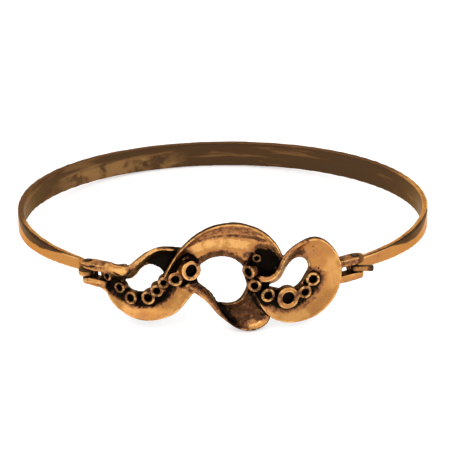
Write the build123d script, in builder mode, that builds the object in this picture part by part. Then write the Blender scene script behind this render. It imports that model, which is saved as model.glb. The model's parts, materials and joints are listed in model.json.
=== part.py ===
from build123d import *

import os
from collections import namedtuple
from math import atan2, degrees, sqrt

# A hinged bronze bangle. A springy oval band goes round the wrist, and an openwork front of waved
# ribbons and little tube rings closes it: a hinge pin holds the front at the left, and at the right
# the band's hook catches behind an upright bar, which has a thumb tab to pull the front open.
#
# While it is built, the band's middle plane is z = 0, x runs across the wrist and the front faces -y.
# At the end the pieces are laid as the bangle rests by itself, on a floor at z = 0.

# Band, in millimetres
band_width = 64.0
band_depth = 49.0
band_thickness = 0.95
band_height = 4.15
band_end_height = 1.8
band_end_drop = 0.25
band_taper_start = 18.5
# How much of the band's growth to its full height has come at mid depth, as shares
upper_shoulder = 0.8
lower_shoulder = 1.0

# Openwork front
front_half = 20.0
front_rise = 10.0
front_bend = 40.0
front_stand = 2.0
relief = 2.0
hollow = 1.0
ribbon_wall = 0.9
ring_radius = 1.0
ring_wall = 0.42
ring_length = 1.7
ring_bore = 1.2
grain_radius = 0.3

# Hinge and clasp, with their places as shares of front_half and relief
hinge_across = -0.990
bar_across = 0.9575
hinge_out = -0.1
pin_radius = 0.45
bar_radius = 0.5
pin_head = 0.1
ear_height = 1.15
ear_gap = 1.35
ear_radius = 0.85
knuckle_radius = 0.92
knuckle_reach = 0.55
neck_offset = 1.1
hook_wall = 0.55
hook_reach = 0.2
tab_length = 2.5
tab_thickness = 0.7
tab_height = 0.86
clasp_level = 0.45
fit_gap = 0.02
running_gap = 0.06
side_gap = 0.1

# At rest the front stands on this place of its lowest curve, and leans this many degrees to the left.
front_foot = (0.16, -0.73, 0.2)
rest_roll = 0.7

# Worked out from the sizes above
half_width = band_width / 2
half_depth = band_depth / 2
front_centre = front_bend - half_depth - front_stand
knuckle_height = ear_gap - 2 * side_gap

# Shares are of front_half across, front_rise up, relief out of the front's curved surface, hollow,
# ribbon_wall, ring_radius, ring_wall and grain_radius.
Section = namedtuple(
    "Section",
    "outer_across outer_up outer_out inner_across inner_up inner_out sink_outer sink_inner wall",
)
Ring = namedtuple("Ring", "across up out radius wall length turn tip")
Grain = namedtuple("Grain", "across up out radius")
Ear = namedtuple("Ear", "tip_across root_across level side")

# Ribbons: each row is a section from the outer edge to the inner one, going clockwise.
left_ribbon = [
    (-0.815, 0.140, 0.25, -0.820, 0.085, -0.30, 0.05, 0.05, 0.80),
    (-0.740, 0.107, 0.55, -0.747, -0.033, -0.35, 0.1, 0.1, 1.60),
    (-0.693, 0.125, 0.55, -0.690, -0.033, -0.40, 0.2, 0.2, 1.45),
    (-0.643, 0.240, 0.55, -0.630, 0.050, -0.45, 0.4, 0.4, 1.05),
    (-0.583, 0.370, 0.55, -0.582, 0.180, -0.45, 0.5, 0.5, 0.85),
    (-0.510, 0.510, 0.50, -0.520, 0.236, -0.45, 0.7, 0.7, 0.80),
    (-0.422, 0.580, 0.40, -0.455, 0.187, -0.45, 0.9, 0.9, 0.80),
    (-0.337, 0.575, 0.20, -0.415, 0.050, -0.45, 0.9, 0.9, 0.80),
    (-0.288, 0.512, 0.00, -0.365, -0.027, -0.50, 0.8, 0.8, 0.85),
]
left_crescent = [
    (-0.213, -0.080, 0.15, -0.305, 0.174, -0.35, 0.3, 0.4, 0.90),
    (-0.242, -0.143, 0.35, -0.407, 0.147, -0.30, 0.4, 0.6, 0.90),
    (-0.298, -0.288, 0.50, -0.463, 0.049, -0.20, 0.5, 1.0, 0.95),
    (-0.390, -0.453, 0.60, -0.512, -0.091, -0.20, 0.5, 1.1, 1.00),
    (-0.515, -0.549, 0.65, -0.563, -0.163, -0.20, 0.5, 1.1, 1.00),
    (-0.640, -0.560, 0.65, -0.637, -0.191, -0.20, 0.5, 1.1, 1.00),
    (-0.746, -0.487, 0.55, -0.700, -0.130, -0.20, 0.5, 1.0, 1.00),
    (-0.822, -0.350, 0.50, -0.761, -0.031, -0.20, 0.5, 0.9, 1.00),
    (-0.887, -0.186, 0.45, -0.864, 0.053, -0.15, 0.4, 0.6, 1.00),
]
centre_loop = [
    (-0.423, 0.149, 0.45, -0.371, 0.054, 0.00, 0.3, 0.3, 0.75),
    (-0.393, 0.289, 0.55, -0.305, 0.144, 0.00, 0.6, 0.6, 0.75),
    (-0.333, 0.516, 0.60, -0.218, 0.254, 0.05, 1.0, 0.8, 0.80),
    (-0.249, 0.721, 0.55, -0.160, 0.355, 0.15, 1.1, 0.6, 0.85),
    (-0.134, 0.900, 0.50, -0.095, 0.445, 0.20, 1.1, 0.4, 0.90),
    (0.001, 0.995, 0.45, -0.015, 0.489, 0.25, 1.1, 0.3, 0.90),
    (0.137, 0.990, 0.45, 0.055, 0.465, 0.25, 1.1, 0.3, 0.90),
    (0.270, 0.872, 0.45, 0.109, 0.384, 0.15, 1.1, 0.8, 0.90),
    (0.376, 0.652, 0.40, 0.142, 0.287, 0.00, 1.4, 1.4, 0.90),
    (0.426, 0.412, 0.30, 0.148, 0.177, -0.15, 1.7, 1.7, 0.90),
    (0.387, 0.089, -0.10, 0.165, 0.018, -0.20, 1.1, 1.1, 0.90),
    (0.307, -0.120, -0.25, 0.171, -0.058, -0.15, 0.5, 0.5, 0.90),
    (0.315, -0.337, -0.30, 0.150, -0.170, -0.05, 0.8, 0.8, 0.90),
    (0.340, -0.560, -0.10, 0.104, -0.258, 0.00, 1.3, 1.3, 0.90),
    (0.266, -0.700, 0.15, 0.053, -0.289, 0.00, 1.7, 1.6, 0.90),
    (0.139, -0.706, 0.25, 0.010, -0.287, 0.00, 1.6, 1.4, 0.90),
    (0.060, -0.610, 0.30, -0.015, -0.269, 0.00, 1.1, 1.0, 0.90),
    (0.001, -0.419, 0.35, -0.045, -0.235, -0.15, 0.5, 0.5, 0.90),
    (-0.061, -0.214, 0.40, -0.076, -0.168, -0.40, 0.2, 0.2, 1.00),
    (-0.128, -0.077, 0.35, -0.120, -0.083, -0.50, 0.1, 0.1, 1.15),
    (-0.198, -0.010, 0.20, -0.177, 0.006, -0.50, 0.1, 0.1, 1.15),
    (-0.263, 0.013, 0.00, -0.242, 0.054, -0.50, 0.1, 0.1, 1.10),
]
right_ribbon = [
    (0.241, 0.075, 0.15, 0.243, -0.060, -0.40, 0.1, 0.1, 0.90),
    (0.306, 0.072, 0.35, 0.308, -0.046, -0.40, 0.1, 0.1, 0.90),
    (0.370, 0.127, 0.50, 0.388, -0.019, -0.45, 0.1, 0.1, 0.80),
    (0.428, 0.316, 0.60, 0.447, 0.148, -0.50, 0.2, 0.2, 0.70),
    (0.470, 0.473, 0.60, 0.497, 0.292, -0.45, 0.3, 0.3, 0.70),
    (0.542, 0.600, 0.55, 0.555, 0.341, -0.25, 0.3, 0.3, 0.70),
    (0.634, 0.672, 0.50, 0.598, 0.306, 0.00, 0.3, 0.3, 0.80),
    (0.749, 0.580, 0.45, 0.622, 0.165, 0.05, 0.3, 0.6, 0.90),
    (0.846, 0.270, 0.45, 0.588, 0.030, 0.05, 0.3, 0.9, 0.95),
    (0.854, -0.112, 0.45, 0.556, -0.070, 0.05, 0.3, 0.9, 1.00),
    (0.766, -0.446, 0.45, 0.499, -0.125, 0.05, 0.3, 0.9, 1.00),
    (0.597, -0.618, 0.45, 0.424, -0.110, 0.05, 0.3, 0.9, 1.00),
    (0.412, -0.590, 0.40, 0.352, -0.065, 0.05, 0.3, 0.9, 1.00),
    (0.288, -0.383, 0.30, 0.278, -0.050, 0.00, 0.2, 0.6, 0.95),
    (0.223, -0.123, 0.15, 0.217, -0.059, -0.10, 0.05, 0.1, 0.90),
]

# Rings: the middle of each rim, and how far its tube is turned to the right and tipped up, in degrees.
rings = [
    (-0.850, 0.030, 0.40, 0.78, 0.9, 0.8, -18, 0),
    (-0.760, -0.115, 0.45, 0.86, 0.9, 0.8, -10, 5),
    (-0.679, -0.250, 0.45, 0.97, 1.0, 0.8, -5, 10),
    (-0.549, -0.215, 0.45, 1.06, 1.1, 1.0, 0, 5),
    (-0.483, -0.087, 0.45, 0.95, 1.0, 1.0, 10, 0),
    (-0.432, 0.054, 0.45, 0.86, 1.0, 1.0, 10, 5),
    (-0.346, 0.127, 0.50, 1.08, 1.2, 1.0, 10, 0),
    (-0.226, 0.292, 0.60, 1.48, 1.5, 1.0, 32, 10),
    (0.240, 0.416, 0.00, 0.68, 0.8, 1.0, -5, 0),
    (0.176, 0.222, 0.15, 1.06, 1.1, 0.7, -42, 0),
    (0.223, 0.012, 0.35, 1.00, 1.1, 1.0, -10, -5),
    (0.323, -0.142, 0.45, 1.04, 1.1, 1.0, 5, 5),
    (0.470, -0.212, 0.50, 1.66, 1.8, 0.8, 4, 6),
    (0.593, -0.160, 0.45, 1.01, 1.1, 1.0, -5, 0),
    (0.649, 0.031, 0.45, 1.04, 1.0, 1.0, -10, 5),
]

# Grains of solder, beside the rings and one inside a ring
grains = [
    (-0.545, -0.230, -0.08, 1.0),
    (-0.425, -0.085, 0.05, 1.2),
    (0.700, 0.160, -0.10, 0.9),
    (0.215, 0.520, -0.25, 0.8),
]

ears = [
    (hinge_across, -0.830, 0.0, 1),
    (hinge_across, -0.870, 0.0, -1),
    (0.986, 0.850, clasp_level, 1),
    (0.986, 0.850, clasp_level, -1),
]


def on_front(across, up, out):
    """A place on the curved front, from shares of its half length, its rise and its relief."""
    x = across * front_half
    y = front_centre - sqrt(front_bend**2 - x**2) - out * relief
    return Vector(x, y, up * front_rise)


def on_oval(x, inset):
    """The y of the band's front half at x, on the oval that lies inset inside its outer face."""
    return -(half_depth - inset) * sqrt(1 - (x / (half_width - inset)) ** 2)


def section_planes(sections):
    """Each section's plane and width, with x from the outer edge to the inner and y out of the face."""
    edges = [(on_front(*row[0:3]), on_front(*row[3:6])) for row in sections]
    middles = [(outer + inner) / 2 for outer, inner in edges]
    planes = []
    for i, (outer, inner) in enumerate(edges):
        along = middles[min(i + 1, len(edges) - 1)] - middles[max(i - 1, 0)]
        chord = (inner - outer).normalized()
        out_of_face = chord.cross(along).normalized()
        planes.append((Plane(middles[i], chord, chord.cross(out_of_face)), (inner - outer).length))
    return planes


def ring_plane(ring):
    """The plane of a ring's rim, which faces out of the curved front, turned and tipped."""
    rim = on_front(ring.across, ring.up, ring.out)
    radial = Vector(rim.X, rim.Y - front_centre, 0).normalized()
    level = radial.rotate(Axis.Z, ring.turn)
    sideways = Vector(0, 0, 1).cross(level)
    return Plane(rim, sideways, level.rotate(Axis((0, 0, 0), sideways), -ring.tip))


hinge = on_front(hinge_across, 0, hinge_out)
bar = on_front(bar_across, 0, hinge_out)

# The openwork front: waved ribbons, rings, grains and four ears, cast and soldered into one piece
with BuildPart() as ornament:
    for table in (left_ribbon, left_crescent, centre_loop, right_ribbon):
        sections = [Section(*row) for row in table]
        for section, (plane, width) in zip(sections, section_planes(sections)):
            wall = section.wall * ribbon_wall
            face = [
                (-width / 2, 0),
                (-width / 6, -section.sink_outer * hollow),
                (width / 6, -section.sink_inner * hollow),
                (width / 2, 0),
            ]
            back = [(x, y - wall) for x, y in reversed(face)]
            with BuildSketch(plane):
                with BuildLine():
                    Bezier(*face)
                    Line(face[-1], back[0])
                    Bezier(*back)
                    Line(back[-1], face[0])
                make_face()
        loft()
    for ear in (Ear(*row) for row in ears):
        foot = ear.level + (ear_gap / 2 if ear.side > 0 else -ear_gap / 2 - ear_height)
        with BuildSketch(Plane.XY.offset(foot)):
            tip = on_front(ear.tip_across, 0, hinge_out)
            root = on_front(ear.root_across, 0, hinge_out)
            SlotCenterPoint((tip + root) / 2, tip, 2 * ear_radius)
        extrude(amount=ear_height)
    for ring in (Ring(*row) for row in rings):
        with BuildSketch(ring_plane(ring)):
            Circle(ring.radius * ring_radius)
        extrude(amount=-ring.length * ring_length)
    for ring in (Ring(*row) for row in rings):
        with BuildSketch(ring_plane(ring)):
            Circle(ring.radius * ring_radius - ring.wall * ring_wall)
        extrude(amount=-ring.length * ring_bore, mode=Mode.SUBTRACT)
    for grain in (Grain(*row) for row in grains):
        with Locations(on_front(grain.across, grain.up, grain.out)):
            Sphere(grain.radius * grain_radius)
    for place, radius in ((hinge, pin_radius), (bar, bar_radius)):
        with Locations((place.X, place.Y, 0)):
            Cylinder(radius + fit_gap, front_rise, mode=Mode.SUBTRACT)

# The band: an oval strip, tapered to both ends, with a knuckle at the left and a hook at the right
hook_across = bar.X - bar_radius - side_gap - hook_wall / 2
neck_across = hinge.X - neck_offset
with BuildPart() as band:
    with BuildSketch(Plane.XY.offset(-band_height / 2)):
        Ellipse(half_width, half_depth)
        Ellipse(half_width - band_thickness, half_depth - band_thickness, mode=Mode.SUBTRACT)
        with Locations(((neck_across + hook_across) / 2, -half_depth)):
            Rectangle(hook_across - neck_across, band_depth, mode=Mode.SUBTRACT)
    extrude(amount=band_height)
    upper_end = band_end_height / 2 - band_end_drop
    lower_end = -band_end_height / 2 - band_end_drop
    upper_middle = upper_end + upper_shoulder * (band_height / 2 - upper_end)
    lower_middle = lower_end - lower_shoulder * (band_height / 2 + lower_end)
    middle_depth = (half_depth - band_taper_start) / 2
    with BuildSketch(Plane.YZ):
        with BuildLine():
            Polyline(
                (-band_taper_start, lower_end),
                (-half_depth, lower_end),
                (-half_depth, upper_end),
                (-band_taper_start, upper_end),
            )
            ThreePointArc(
                (-band_taper_start, upper_end), (middle_depth, upper_middle), (half_depth, band_height / 2)
            )
            Line((half_depth, band_height / 2), (half_depth, -band_height / 2))
            ThreePointArc(
                (half_depth, -band_height / 2), (middle_depth, lower_middle), (-band_taper_start, lower_end)
            )
        make_face()
    extrude(amount=half_width, both=True, mode=Mode.INTERSECT)
    with BuildSketch(Plane.XY.offset(-knuckle_height / 2)):
        neck_back = Vector(neck_across, on_oval(neck_across, band_thickness / 2))
        neck_front = Vector(hinge.X - knuckle_reach, hinge.Y + knuckle_radius / 2)
        SlotCenterPoint((neck_back + neck_front) / 2, neck_back, band_thickness)
    extrude(amount=knuckle_height)
    with BuildSketch(Plane.XY.offset(-knuckle_height / 2)):
        knuckle_end = Vector(hinge.X - knuckle_reach, hinge.Y)
        SlotCenterPoint((hinge + knuckle_end) / 2, hinge, 2 * knuckle_radius)
    extrude(amount=knuckle_height)
    with BuildSketch(Plane.XY.offset(clasp_level - knuckle_height / 2)):
        hook_back = Vector(hook_across, on_oval(hook_across, band_thickness / 2))
        hook_tip = Vector(hook_across, bar.Y - hook_reach)
        SlotCenterPoint((hook_back + hook_tip) / 2, hook_tip, hook_wall)
    extrude(amount=knuckle_height)
    with Locations((hinge.X, hinge.Y, 0)):
        Cylinder(pin_radius + running_gap, band_height, mode=Mode.SUBTRACT)

# The hinge pin, through the left ears and the knuckle
pin_length = ear_gap + 2 * ear_height + 2 * pin_head
with BuildPart() as hinge_pin:
    with Locations((hinge.X, hinge.Y, 0)):
        Cylinder(pin_radius, pin_length)
    fillet(hinge_pin.edges().filter_by(GeomType.CIRCLE), pin_head)

# The clasp bar, through the right ears, with the thumb tab on its front
with BuildPart() as clasp_bar:
    with Locations((bar.X, bar.Y, clasp_level)):
        Cylinder(bar_radius, pin_length)
    fillet(clasp_bar.edges().filter_by(GeomType.CIRCLE), pin_head)
    with BuildSketch(Plane.XY.offset(clasp_level - tab_height / 2)):
        tab_root = Vector(bar.X, bar.Y - bar_radius)
        tab_end = tab_root + Vector(tab_length, 0)
        SlotCenterPoint((tab_root + tab_end) / 2, tab_end, tab_thickness)
    extrude(amount=tab_height)

# Lay the pieces at rest: on the back of the band's lower edge and the lowest curve of the front
foot_level = ornament.part.bounding_box().min.Z
foot_y = on_front(*front_foot).Y
rest_tilt = degrees(atan2(-band_height / 2 - foot_level, half_depth - foot_y))
pieces = [ornament.part, band.part, hinge_pin.part, clasp_bar.part]
for piece in pieces:
    piece.move(Location((0, 0, 0), (-rest_tilt, -rest_roll, 0)))
whole = Compound(pieces).bounding_box()
for piece in pieces:
    piece.move(Location((-whole.center().X, -whole.center().Y, -whole.min.Z)))

ornament.part.label = "ornament"
band.part.label = "band"
hinge_pin.part.label = "hinge_pin"
clasp_bar.part.label = "clasp_bar"

os.makedirs("parts", exist_ok=True)
export_step(ornament.part, "parts/ornament.step")
export_step(band.part, "parts/band.step")
export_step(hinge_pin.part, "parts/hinge_pin.step")
export_step(clasp_bar.part, "parts/clasp_bar.step")
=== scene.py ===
"""Finishes a hinged bronze bracelet: its cast front, its band, its hinge pin and its clasp bar."""

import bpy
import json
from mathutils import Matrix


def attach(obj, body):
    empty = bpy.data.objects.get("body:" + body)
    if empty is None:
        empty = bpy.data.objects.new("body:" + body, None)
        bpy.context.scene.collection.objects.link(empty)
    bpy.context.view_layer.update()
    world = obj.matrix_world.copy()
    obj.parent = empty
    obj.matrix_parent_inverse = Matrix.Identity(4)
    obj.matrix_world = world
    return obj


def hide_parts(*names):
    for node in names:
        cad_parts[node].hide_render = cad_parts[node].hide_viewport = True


bl_info = {
    "name": "Bronze Bracelet Finish",
    "version": (1, 0, 0),
    "blender": (4, 5, 0),
    "location": "View3D > Sidebar > Bracelet",
    "description": "Casts, patinates and polishes the pieces of a hinged bronze bracelet",
    "category": "Mesh",
}

import json
from collections import namedtuple
from math import asin, atan2, cos, pi, radians, sin, sqrt

import bmesh
import bpy
import numpy as np
from bpy.props import FloatProperty, FloatVectorProperty, IntProperty, PointerProperty
from mathutils import Matrix, Vector, noise
from mathutils.bvhtree import BVHTree

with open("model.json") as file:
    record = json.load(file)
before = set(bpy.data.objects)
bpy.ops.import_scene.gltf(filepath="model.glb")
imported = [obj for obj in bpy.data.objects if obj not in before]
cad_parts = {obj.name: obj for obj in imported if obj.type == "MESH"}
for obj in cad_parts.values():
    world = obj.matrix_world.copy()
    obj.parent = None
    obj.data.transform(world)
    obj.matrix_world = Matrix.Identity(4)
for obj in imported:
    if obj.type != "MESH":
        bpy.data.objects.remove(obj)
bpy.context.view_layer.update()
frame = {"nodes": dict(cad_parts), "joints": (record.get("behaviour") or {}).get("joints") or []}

MM = 0.001

# The front's own curved surface, in metres: places on it are shares of its half length, rise and relief
FRONT_HALF = 20 * MM
FRONT_RISE = 10 * MM
FRONT_BEND = 40 * MM
FRONT_CENTRE = 13.5 * MM
RELIEF = 2 * MM
HINGE_SHARE = (-0.99, 0, -0.1)

# The band's outer oval, in metres
BAND_HALF_WIDTH = 32 * MM
BAND_HALF_DEPTH = 24.5 * MM

# The dark lens at each side of the band, in degrees round from the front: its middle, how far it reaches
# to both sides of that, and from where it is fainter
LENS_MIDDLE = 66
LENS_REACH_LEFT = 22
LENS_REACH_RIGHT = 17
LENS_FAINT_FROM = 95

# The painted shadow line below the band's upper rim, as a share of the band's half height there
LINE_HEIGHT = 0.66

# The stretch of the band's inside with painted light on its lower part: its middle across the bangle and
# how far it reaches to both sides of that, in metres
LIT_INSIDE_MIDDLE = -17 * MM
LIT_INSIDE_REACH = 10 * MM

# Where the painted shade on the thumb tab's end begins, across the bangle from its middle, in metres
TAB_END = 21 * MM

# The picture's width in pixels, and how far off its middle the bangle's middle stands there
PICTURE = 450
LEFT_OF_MIDDLE = 2.25
ABOVE_MIDDLE = 12.4

# The colour of bronze's own gleam, and white
BRONZE_GLEAM = (1.0, 0.72, 0.48, 1)
WHITE = (1, 1, 1, 1)

# The floor's half width and the soft lights round the bangle: where they stand, how wide they are, in
# metres, and their share of the key light's power
FLOOR_HALF = 1.5
Light = namedtuple("Light", "name place size share")
LIGHTS = [
    Light("key", (-0.22, -0.20, 0.42), 0.5, 1.0),
    Light("fill", (0.35, -0.15, 0.25), 0.4, 0.4),
    Light("back", (0.05, 0.35, 0.35), 0.6, 0.5),
]

# Wax that is laid on the front before it is cast: how flat each stroke is, from front to back, and its
# points as shares across, up and out, with the stroke's radius there in mm
Wax = namedtuple("Wax", "name flat points")
WAX_STROKES = [
    Wax("web from the big ring to the next", 0.9, [
        (-0.275, 0.40, 0.30, 0.25), (-0.303, 0.325, 0.32, 0.32), (-0.323, 0.25, 0.28, 0.28),
    ]),
    Wax("start of the twist", 0.7, [
        (-0.285, -0.05, -0.05, 0.40), (-0.245, 0.00, 0.02, 0.50), (-0.20, 0.035, 0.04, 0.50),
        (-0.155, -0.015, 0.08, 0.45), (-0.115, -0.08, 0.05, 0.38),
    ]),
    Wax("top of the left ribbon's start", 0.9, [
        (-0.82, 0.235, 0.20, 0.25), (-0.76, 0.208, 0.25, 0.30), (-0.72, 0.215, 0.28, 0.30),
        (-0.68, 0.235, 0.28, 0.30), (-0.645, 0.285, 0.30, 0.25),
    ]),
    Wax("solder under the big ring", 0.8, [(-0.25, 0.09, -0.15, 0.40), (-0.20, 0.085, -0.12, 0.40)]),
    Wax("front post between the left ears", 1.0, [
        (-0.9265, -0.09, -0.15, 0.25), (-0.9265, 0.09, -0.15, 0.25),
    ]),
    Wax("back post between the left ears", 1.0, [
        (-0.939, -0.09, -0.76, 0.25), (-0.939, 0.09, -0.76, 0.25),
    ]),
    Wax("foot behind the first ring", 1.0, [(-0.882, -0.10, 0.0, 0.30), (-0.878, 0.10, 0.0, 0.30)]),
    Wax("floor below the left ribbon's start", 0.9, [
        (-0.775, 0.01, 0.0, 0.26), (-0.718, -0.005, 0.0, 0.26),
    ]),
]

# Plates of wax under the left ribbon's wide start, each as the balls that it is stretched over: shares
# across, up and out, and radius in mm
WAX_PLATES = [
    [
        (-0.851, 0.212, 0.18, 0.24), (-0.770, 0.188, 0.32, 0.25), (-0.764, 0.102, 0.30, 0.25),
        (-0.819, 0.145, 0.20, 0.24), (-0.853, 0.147, 0.15, 0.24),
    ],
    [
        (-0.770, 0.188, 0.32, 0.25), (-0.697, 0.220, 0.40, 0.25), (-0.700, 0.185, 0.42, 0.25),
        (-0.723, 0.125, 0.35, 0.25), (-0.760, 0.105, 0.30, 0.25),
    ],
]

# Where the wax was melted smooth: shares across, up and out, how far round in mm, and how many rounds
Melt = namedtuple("Melt", "name place reach rounds")
MELTS = [
    Melt("wide start of the left ribbon", (-0.79, 0.13, 0.10), 1.5, 70),
    Melt("neck of the left ribbon", (-0.675, 0.20, 0.25), 1.1, 50),
    Melt("start of the twist", (-0.19, -0.01, 0.10), 1.4, 50),
    Melt("bend of the twist", (-0.11, -0.05, 0.10), 1.2, 60),
    Melt("crescent's right end", (-0.25, -0.08, 0.10), 1.1, 40),
    *[Melt("ear's end", (side, level, -0.1), 1.3, 12) for side in (-1, 1) for level in (0.17, -0.17)],
]
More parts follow.
